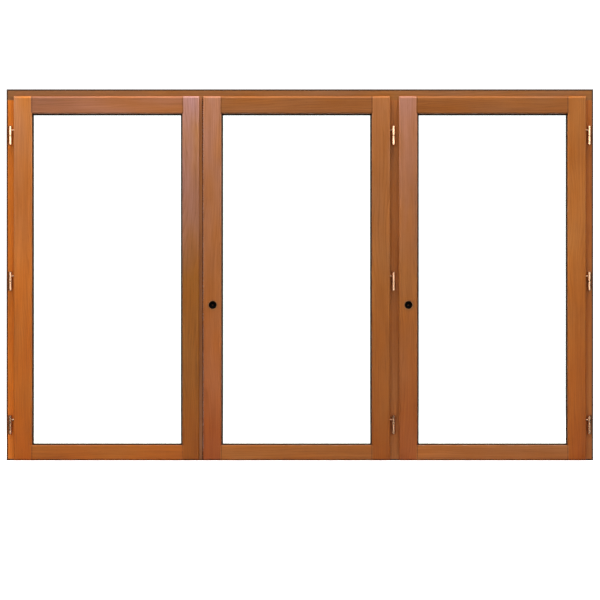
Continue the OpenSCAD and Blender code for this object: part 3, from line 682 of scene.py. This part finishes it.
def turned(form: bmesh.types.BMesh, outline: list[tuple[float, float]], place: Matrix, steps: int) -> None:
    """Adds a closed turned solid to a mesh.

    Args:
        form: The mesh that grows.
        outline: Points as radius and height, from the axis at the bottom to the axis at the top.
        place: Where the solid stands, with its axis along the place's Z.
        steps: How many sides the solid has round its axis.
    """
    rings: list[list[bmesh.types.BMVert]] = []
    for radius, height in outline:
        if radius <= 0.0:
            rings.append([form.verts.new(place @ Vector((0.0, 0.0, height)))])
            continue
        angles = [2.0 * math.pi * i / steps for i in range(steps)]
        points = [Vector((radius * math.cos(a), radius * math.sin(a), height)) for a in angles]
        rings.append([form.verts.new(place @ point) for point in points])
    for lower, upper in zip(rings, rings[1:]):
        for i in range(steps):
            j = (i + 1) % steps
            corners = [ring[k % len(ring)] for ring, k in ((lower, i), (lower, j), (upper, j), (upper, i))]
            loop = list(dict.fromkeys(corners))
            if len(loop) > 2:
                form.faces.new(loop).smooth = True


@dataclass
class ScrewHeads:
    """Slotted raised screw heads along a metal plate."""

    name: str
    body: str
    slot: str
    facing: Vector
    spots: list[Vector]
    radius: float = 0.0031
    rise: float = 0.0009
    rim: float = 0.0001
    shank_length: float = 0.0035
    slot_width: float = 0.0007
    steps: int = 28

    def outline(self, floor: float) -> list[tuple[float, float]]:
        """The outline of the shank and the round disc up to the slot's floor."""
        shank = self.radius * 0.5
        return [
            (0.0, -self.shank_length), (shank, -self.shank_length), (shank, -self.rim),
            (self.radius, -self.rim), (self.radius, 0.0), (self.radius * 0.93, floor), (0.0, floor),
        ]

    def build(self, material: bpy.types.Material) -> bpy.types.Object:
        """Makes the heads as one object and cuts a slot in each.

        Args:
            material: The screws' metal.

        Returns:
            The object, already riding on its body.
        """
        form = bmesh.new()
        for i, spot in enumerate(self.spots):
            lean = self.facing.to_track_quat("Z", "Y").to_matrix().to_4x4()
            twist = Matrix.Rotation(math.radians(23.0 + 57.0 * i), 4, "Z")
            self._head(form, Matrix.Translation(spot) @ lean @ twist)
        piece = mesh_object(self.name, form, material)
        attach(piece, self.body)
        return piece

    def _head(self, form: bmesh.types.BMesh, place: Matrix) -> None:
        """Adds one head as two half domes with the slot between them, on a round disc."""
        floor = self.rise * 0.35
        turned(form, self.outline(floor), place, self.steps)
        for way in (1.0, -1.0):
            self._half_dome(form, place, way, floor)

    def _half_dome(self, form: bmesh.types.BMesh, place: Matrix, way: float, floor: float) -> None:
        """Adds the part of the dome on one side of the slot.

        Args:
            form: The mesh that grows.
            place: The head's place.
            way: 1 or -1, the side of the slot.
            floor: The height of the slot's floor.
        """
        levels = [(0.93, floor * 0.9), (0.90, 0.55 * self.rise), (0.70, 0.80 * self.rise), (0.42, self.rise)]
        rows: list[list[bmesh.types.BMVert]] = []
        count = self.steps // 2
        for share, height in levels:
            r = self.radius * share
            edge = math.asin(self.slot_width / 2 / r)
            sweep = [edge + (math.pi - 2.0 * edge) * i / count for i in range(count + 1)]
            points = [Vector((r * math.cos(a), way * r * math.sin(a), height)) for a in sweep]
            rows.append([form.verts.new(place @ point) for point in points])
        for lower, upper in zip(rows, rows[1:]):
            for i in range(count):
                form.faces.new([lower[i], lower[i + 1], upper[i + 1], upper[i]]).smooth = True
        form.faces.new(rows[-1])
        form.faces.new(list(reversed(rows[0])))
        wall = [row[0] for row in rows] + [row[-1] for row in reversed(rows)]
        form.faces.new(wall)


# ---------------------------------------------------------------- sub-assemblies


@dataclass
class Member:
    """One CAD node of timber and the finish it gets."""

    node: str
    finish: TimberFinish
    arris: float = 0.0006

    def dress(self, effects: Effects) -> None:
        """Gives the node its own material and eased edges.

        Args:
            effects: The shared node groups.
        """
        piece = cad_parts[self.node]
        low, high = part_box(self.node)
        coat(piece, self.finish.build(effects, Vector(low), Vector(high)))
        ease_edges(piece, self.arris)


def coat(piece: bpy.types.Object, material: bpy.types.Material) -> None:
    """Puts one material in all of a node's slots."""
    for slot in piece.material_slots:
        slot.material = material


def ease_edges(piece: bpy.types.Object, width: float, segments: int = 2) -> None:
    """Rounds a node's sharp edges slightly, so that they catch the light.

    Args:
        piece: The CAD node's object.
        width: How far each edge is cut back.
        segments: How many faces go round an edge.
    """
    weld = piece.modifiers.new("weld", "WELD")
    weld.merge_threshold = 0.00002
    bevel = piece.modifiers.new("eased", "BEVEL")
    bevel.width = width
    bevel.segments = segments
    bevel.limit_method = "ANGLE"
    bevel.angle_limit = math.radians(40.0)
    bevel.use_clamp_overlap = True
    bevel.harden_normals = True


@dataclass
class OuterFrame:
    """The head, sill, jambs and mullion with their seals, keeps and hinge halves."""

    # Each member's tone is its stain with painted light and shade: the left jamb lighter where the light
    # falls, the head, right jamb and mullion darker with painted shade.
    head: Rgb = (129, 83, 44)
    sill: Rgb = (128, 74, 38)
    left_jamb: Rgb = (201, 108, 21)
    right_jamb: Rgb = (159, 88, 30)
    mullion: Rgb = (151, 87, 35)

    def members(self) -> list[Member]:
        """The five timber members with their finishes."""
        level, upright = Grain.LEVEL, Grain.UPRIGHT
        plans = [
            ("frame_head", self.head, level, 3.1),
            ("frame_sill", self.sill, level, 5.7),
            ("frame_jamb_left", self.left_jamb, upright, 7.3),
            ("frame_jamb_right", self.right_jamb, upright, 11.9),
            ("frame_mullion", self.mullion, upright, 13.4),
        ]
        # the frame members get the painted shade along their outer edges
        return [
            Member(node, TimberFinish(node + "_timber", tone, tone, tone, grain, seed, shaded_edge=True))
            for node, tone, grain, seed in plans
        ]

    def build(self, effects: Effects, metals: dict[str, bpy.types.Material]) -> None:
        """Dresses the outer frame.

        Args:
            effects: The shared node groups.
            metals: The finished metals and rubbers by name.
        """
        for member in self.members():
            member.dress(effects)
            log.info("%s varnished", member.node)
        plain = {
            "frame_seals": "seal", "sill_rain_bars": "bronze_anodised", "bolt_keeps": "satin_brass",
            "keep_screws": "plated_screw", "hinge_frame_halves": "copper", "hinge_pins": "ground_steel",
            "hinge_bearing_rings": "ring_brass",
        }
        for node, finish in plain.items():
            coat(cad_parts[node], metals[finish])
            log.info("%s finished in %s", node, finish)


@dataclass
class Leaf:
    """One hinged leaf: two stiles, two rails, glazing and its own hardware."""

    side: str
    body: str
    left_stile: str
    right_stile: str
    left_tones: tuple[Rgb, Rgb, Rgb]
    right_tones: tuple[Rgb, Rgb, Rgb]
    top_rail: Rgb
    bottom_rail: Rgb
    seed: float

    def members(self) -> list[Member]:
        """The leaf's timber members with their finishes."""
        made = []
        stiles = ((self.left_stile, self.left_tones), (self.right_stile, self.right_tones))
        for i, (node, tones) in enumerate(stiles):
            finish = TimberFinish(node + "_timber", *tones, Grain.UPRIGHT, self.seed + 1.7 * i)
            made.append(Member(node, finish))
        for i, (end, tone) in enumerate((("top", self.top_rail), ("bottom", self.bottom_rail))):
            node = f"{self.side}_{end}_rail"
            finish = TimberFinish(
                node + "_timber", tone, tone, tone, Grain.LEVEL, self.seed + 4.3 + 1.3 * i, joints=True
            )
            made.append(Member(node, finish))
        bead = TimberFinish(
            self.side + "_bead_timber", *(self.top_rail,) * 3, Grain.UPRIGHT, self.seed + 8.1, ring_depth=0.14
        )
        made.append(Member(self.side + "_glazing_beads", bead, 0.0008))
        drip = TimberFinish(
            self.side + "_weather_timber", *(self.bottom_rail,) * 3, Grain.LEVEL, self.seed + 9.7
        )
        made.append(Member(self.side + "_weather_bar", drip, 0.0008))
        return made

    def build(self, effects: Effects, metals: dict[str, bpy.types.Material]) -> None:
        """Dresses the leaf.

        Args:
            effects: The shared node groups.
            metals: The finished metals, rubbers and glass by name.
        """
        for member in self.members():
            member.dress(effects)
            log.info("%s varnished", member.node)
        plain = {
            "glass_panes": "glass", "glass_spacer": "spacer", "gaskets": "gasket", "hinge_halves": "copper",
        }
        for part, finish in plain.items():
            coat(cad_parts[f"{self.side}_{part}"], metals[finish])
            log.info("%s_%s finished in %s", self.side, part, finish)


@dataclass
class LockedLeaf(Leaf):
    """A leaf with a rod lock in its left stile."""

    plate_screws: int = 6
    screw_in: float = 0.060
    plate_short: float = 0.001

    def build(self, effects: Effects, metals: dict[str, bpy.types.Material]) -> None:
        """Dresses the leaf and its lock, and adds the faceplate's screws.

        Args:
            effects: The shared node groups.
            metals: The finished metals, rubbers and glass by name.
        """
        super().build(effects, metals)
        plain = {
            "lock_case": "blackened", "lock_follower": "blackened", "upper_rod": "zinc", "lower_rod": "zinc",
            "lock_faceplate": "satin_brass", "handle_bush": "bush",
        }
        for part, finish in plain.items():
            coat(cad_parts[f"{self.side}_{part}"], metals[finish])
            log.info("%s_%s finished in %s", self.side, part, finish)
        self.add_screws(metals["plated_screw"])

    def add_screws(self, material: bpy.types.Material) -> None:
        """Puts a screw head over each hole in the faceplate."""
        low, high = (Vector(c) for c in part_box(self.side + "_lock_faceplate"))
        inset = self.screw_in - self.plate_short
        start, end = low.z + inset, high.z - inset
        pitch = (end - start) / (self.plate_screws - 1)
        middle_y = (low.y + high.y) / 2
        spots = [Vector((low.x, middle_y, start + pitch * i)) for i in range(self.plate_screws)]
        name = self.side + "_faceplate_screws"
        ScrewHeads(name, self.body, "screw_steel", Vector((-1.0, 0.0, 0.0)), spots).build(material)
        log.info("%s added", name)


@dataclass
class MeetingLeaf(Leaf):
    """The passive leaf, with a cover strip and flush bolts on its meeting edge."""

    strip_tone: Rgb = (146, 91, 51)

    def members(self) -> list[Member]:
        """The leaf's members and its darker meeting strip."""
        strip = TimberFinish(
            "meeting_strip_timber", *(self.strip_tone,) * 3, Grain.UPRIGHT, self.seed + 12.9, ring_depth=0.16
        )
        return [*super().members(), Member("left_meeting_strip", strip)]

    def build(self, effects: Effects, metals: dict[str, bpy.types.Material]) -> None:
        """Dresses the leaf, its seal and its flush bolts.

        Args:
            effects: The shared node groups.
            metals: The finished metals, rubbers and glass by name.
        """
        super().build(effects, metals)
        plain = {
            "meeting_seal": "brown_seal", "upper_flush_bolt": "zinc", "lower_flush_bolt": "zinc",
            "flush_bolt_plates": "satin_brass",
        }
        for part, finish in plain.items():
            coat(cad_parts[f"{self.side}_{part}"], metals[finish])
            log.info("%s_%s finished in %s", self.side, part, finish)


# ---------------------------------------------------------------- studio


@dataclass(frozen=True)
class Lamp:
    """A rectangular soft light."""

    name: str
    place: tuple[float, float, float]
    size: tuple[float, float]
    power: float
    tone: Rgb
    mirrored: bool = True

    def hang(self, aim: Vector) -> None:
        """Puts the lamp in the scene.

        Args:
            aim: What the lamp is turned towards.
        """
        data = bpy.data.lights.new(self.name, "AREA")
        data.shape = "RECTANGLE"
        data.size, data.size_y = self.size
        data.energy = self.power
        data.color = self.tone
        piece = bpy.data.objects.new(self.name, data)
        piece.location = self.place
        piece.visible_glossy = self.mirrored
        piece.rotation_mode = "QUATERNION"
        piece.rotation_quaternion = (Vector(self.place) - aim).to_track_quat("Z", "Y")
        bpy.context.scene.collection.objects.link(piece)


@dataclass
class Studio:
    """A pale floor, soft lights and the camera."""

    half_view: float = 1.2
    distance: float = 14.0
    lens: float = 210.0
    centre: tuple[float, float] = (0.0006, 0.6428)
    aim_height: float = 0.75
    backdrop: float = 1.35
    floor_radius: float = 9.0
    floor_glow: float = 0.95
    lamps: tuple[Lamp, ...] = (
        Lamp("key", (-2.6, -4.2, 3.4), (3.2, 2.4), 38.0, (1.0, 0.97, 0.93)),
        Lamp("fill", (3.4, -4.6, 1.6), (2.4, 2.4), 16.0, (0.97, 0.98, 1.0)),
        Lamp("top", (0.0, -0.42, 3.0), (4.4, 0.4), 128.0, (1.0, 0.92, 0.80), mirrored=False),
        Lamp("rear", (1.2, 4.6, 3.2), (3.2, 2.4), 90.0, (1.0, 0.99, 0.97)),
    )

    def build(self) -> None:
        """Sets the camera, the lights, the sky and the floor."""
        self.add_camera()
        self.add_world()
        self.add_lights()
        self.add_floor()
        bpy.context.scene.view_settings.view_transform = "Standard"

    def add_camera(self) -> None:
        """Stands the camera square in front of the window, on the room side."""
        data = bpy.data.cameras.new("camera")
        data.lens = self.lens
        data.sensor_width = 2.0 * self.half_view * self.lens / self.distance
        data.clip_end = 100.0
        camera = bpy.data.objects.new("camera", data)
        face_y = CAD_BOX[0].y
        camera.location = (self.centre[0], face_y - self.distance, self.centre[1])
        camera.rotation_euler = (math.pi / 2, 0.0, 0.0)
        bpy.context.scene.collection.objects.link(camera)
        bpy.context.scene.camera = camera
        log.info("camera set")

    def add_world(self) -> None:
        """Makes a white backdrop that lights the window evenly and is mirrored as two bright banners."""
        world = bpy.data.worlds.new("studio")
        world.use_nodes = True
        world.node_tree.nodes.clear()
        g = Graph(world.node_tree)
        path = g.add("ShaderNodeLightPath").outputs
        seen = g.math("MAXIMUM", path["Is Camera Ray"], path["Is Transmission Ray"])
        direction = g.add("ShaderNodeTexCoord").outputs["Generated"]
        heading = g.add("ShaderNodeSeparateXYZ", {0: direction}).outputs
        above = g.span(heading["Z"], -0.2, 0.9, 0.16, 0.38)

        # what polished metal mirrors: two bright banners in front, brighter higher up, and dark elsewhere
        sideways = g.math("ABSOLUTE", heading["X"])
        inner = g.span(sideways, 0.08, 0.20, 0.10, 1.0)
        outer = g.span(sideways, 0.60, 0.75, 1.0, 0.0)
        in_front = g.span(heading["Y"], -0.30, -0.05, 1.0, 0.0)
        banner = g.math("MULTIPLY", g.math("MULTIPLY", inner, outer), in_front)
        rise = g.math("POWER", g.span(heading["Z"], -0.036, 0.047), 3.0)
        gloss = g.math("MULTIPLY_ADD", banner, g.math("MULTIPLY_ADD", rise, 4.4, 0.16), 0.02)
        lit = g.mix(path["Is Glossy Ray"], above, gloss)
        strength = g.mix(seen, lit, (self.backdrop, self.backdrop, self.backdrop, 1.0))
        background = g.add("ShaderNodeBackground", {"Color": strength, "Strength": 1.0})
        g.add("ShaderNodeOutputWorld", {"Surface": background.outputs[0]})
        bpy.context.scene.world = world

    def add_lights(self) -> None:
        """Hangs the lamps, all turned towards the middle of the window."""
        for lamp in self.lamps:
            lamp.hang(Vector((0.0, 0.0, self.aim_height)))
        log.info("lights hung")

    def add_floor(self) -> None:
        """Lays a wide, round, pale floor."""
        form = bmesh.new()
        bmesh.ops.create_circle(form, cap_ends=True, segments=96, radius=self.floor_radius)
        material, g, shader, position = new_material("floor_paint")
        mottle = g.noise(position, 3.0, 4.0)
        pale = g.mix(mottle, linear((247, 247, 246)), linear((252, 252, 251)))
        g.feed(g.math("MULTIPLY_ADD", mottle, 0.1, 0.75), shader.inputs["Roughness"])
        shader.inputs["Specular IOR Level"].default_value = 0.1
        shader.inputs["Emission Color"].default_value = (1.0, 1.0, 1.0, 1.0)
        path = g.add("ShaderNodeLightPath").outputs
        seen = g.math("MAXIMUM", path["Is Camera Ray"], path["Is Transmission Ray"])
        mirrored = g.math("SUBTRACT", path["Is Glossy Ray"], seen)
        g.feed(g.mix(mirrored, pale, linear(FLOOR_IN_POLISH)), shader.inputs["Base Color"])
        g.feed(g.math("MULTIPLY", seen, self.floor_glow), shader.inputs["Emission Strength"])
        floor = mesh_object("floor", form, material)
        floor.location = (0.0, 0.0, CAD_BOX[0].z)
        log.info("floor laid")


def make_metals(effects: Effects) -> dict[str, bpy.types.Material]:
    """Makes every finish that isn't timber.

    Args:
        effects: The shared node groups.

    Returns:
        The materials by name.
    """
    finishes = {
        "copper": MetalFinish("polished_copper", (232, 184, 146), (176, 110, 70), 0.11, tarnish_depth=0.35),
        "ring_brass": MetalFinish("turned_brass", (150, 104, 60), (96, 62, 34), 0.24),
        "ground_steel": MetalFinish("ground_steel", (205, 205, 207), (150, 148, 146), 0.22),
        "satin_brass": MetalFinish("satin_brass_plate", (206, 174, 120), (150, 118, 74), 0.34, bump=0.16),
        "plated_screw": MetalFinish("plated_screw", (214, 202, 176), (150, 136, 108), 0.26),
        "zinc": MetalFinish("zinc_plated_steel", (204, 205, 207), (156, 158, 162), 0.36, patch_scale=140.0),
        "blackened": MetalFinish("blackened_steel", (12, 11, 10), (7, 6, 6), 0.42),
        "bush": MetalFinish("bush_metal", (150, 104, 66), (92, 56, 32), 0.30),
        "bronze_anodised": MetalFinish("anodised_rain_bar", (176, 160, 138), (140, 124, 104), 0.40),
        "spacer": MetalFinish("spacer_bar", (96, 88, 80), (70, 62, 54), 0.45),
        "gasket": RubberFinish("glazing_gasket", (40, 20, 8), (78, 50, 30)),
        "seal": RubberFinish("closing_seal", (36, 20, 12), (84, 66, 52), 0.4),
        "brown_seal": RubberFinish("meeting_edge_seal", (92, 46, 18), (112, 66, 34), 0.25),
        "glass": GlassFinish("clear_glass", (250, 253, 252)),
    }
    return {key: finish.build(effects) for key, finish in finishes.items()}


def make_leaves() -> list[Leaf]:
    """Describes the three leaves.

    Returns:
        The leaves from left to right.
    """
    return [
        # The stiles' top, middle and foot tones and the rails' tones hold painted light over the stain: the
        # paler, pinker top tones are painted sheen from the light above.
        MeetingLeaf(
            "left", "leaf_left", "left_hinge_stile", "left_meeting_stile",
            ((170, 108, 60), (179, 100, 32), (163, 82, 4)), ((166, 121, 114), (138, 84, 27), (129, 69, 10)),
            (141, 88, 57), (153, 82, 19), 21.3,
        ),
        LockedLeaf(
            "middle", "leaf_middle", "middle_lock_stile", "middle_hinge_stile",
            ((156, 105, 79), (154, 94, 50), (145, 71, 25)), ((150, 93, 49), (147, 88, 36), (137, 71, 12)),
            (130, 78, 36), (142, 81, 28), 47.9,
        ),
        LockedLeaf(
            "right", "leaf_right", "right_lock_stile", "right_hinge_stile",
            ((153, 102, 77), (144, 86, 36), (137, 69, 24)), ((155, 93, 37), (161, 93, 32), (139, 67, 4)),
            (128, 76, 33), (148, 87, 38), 83.6,
        ),
    ]


def main() -> None:
    """Builds the window's looks and its studio in order."""
    logging.basicConfig(level=logging.INFO, format="%(message)s")
    effects = Effects()
    metals = make_metals(effects)
    OuterFrame().build(effects, metals)
    for leaf in make_leaves():
        leaf.build(effects, metals)
    Studio().build()


if __name__ == "__main__":
    main()
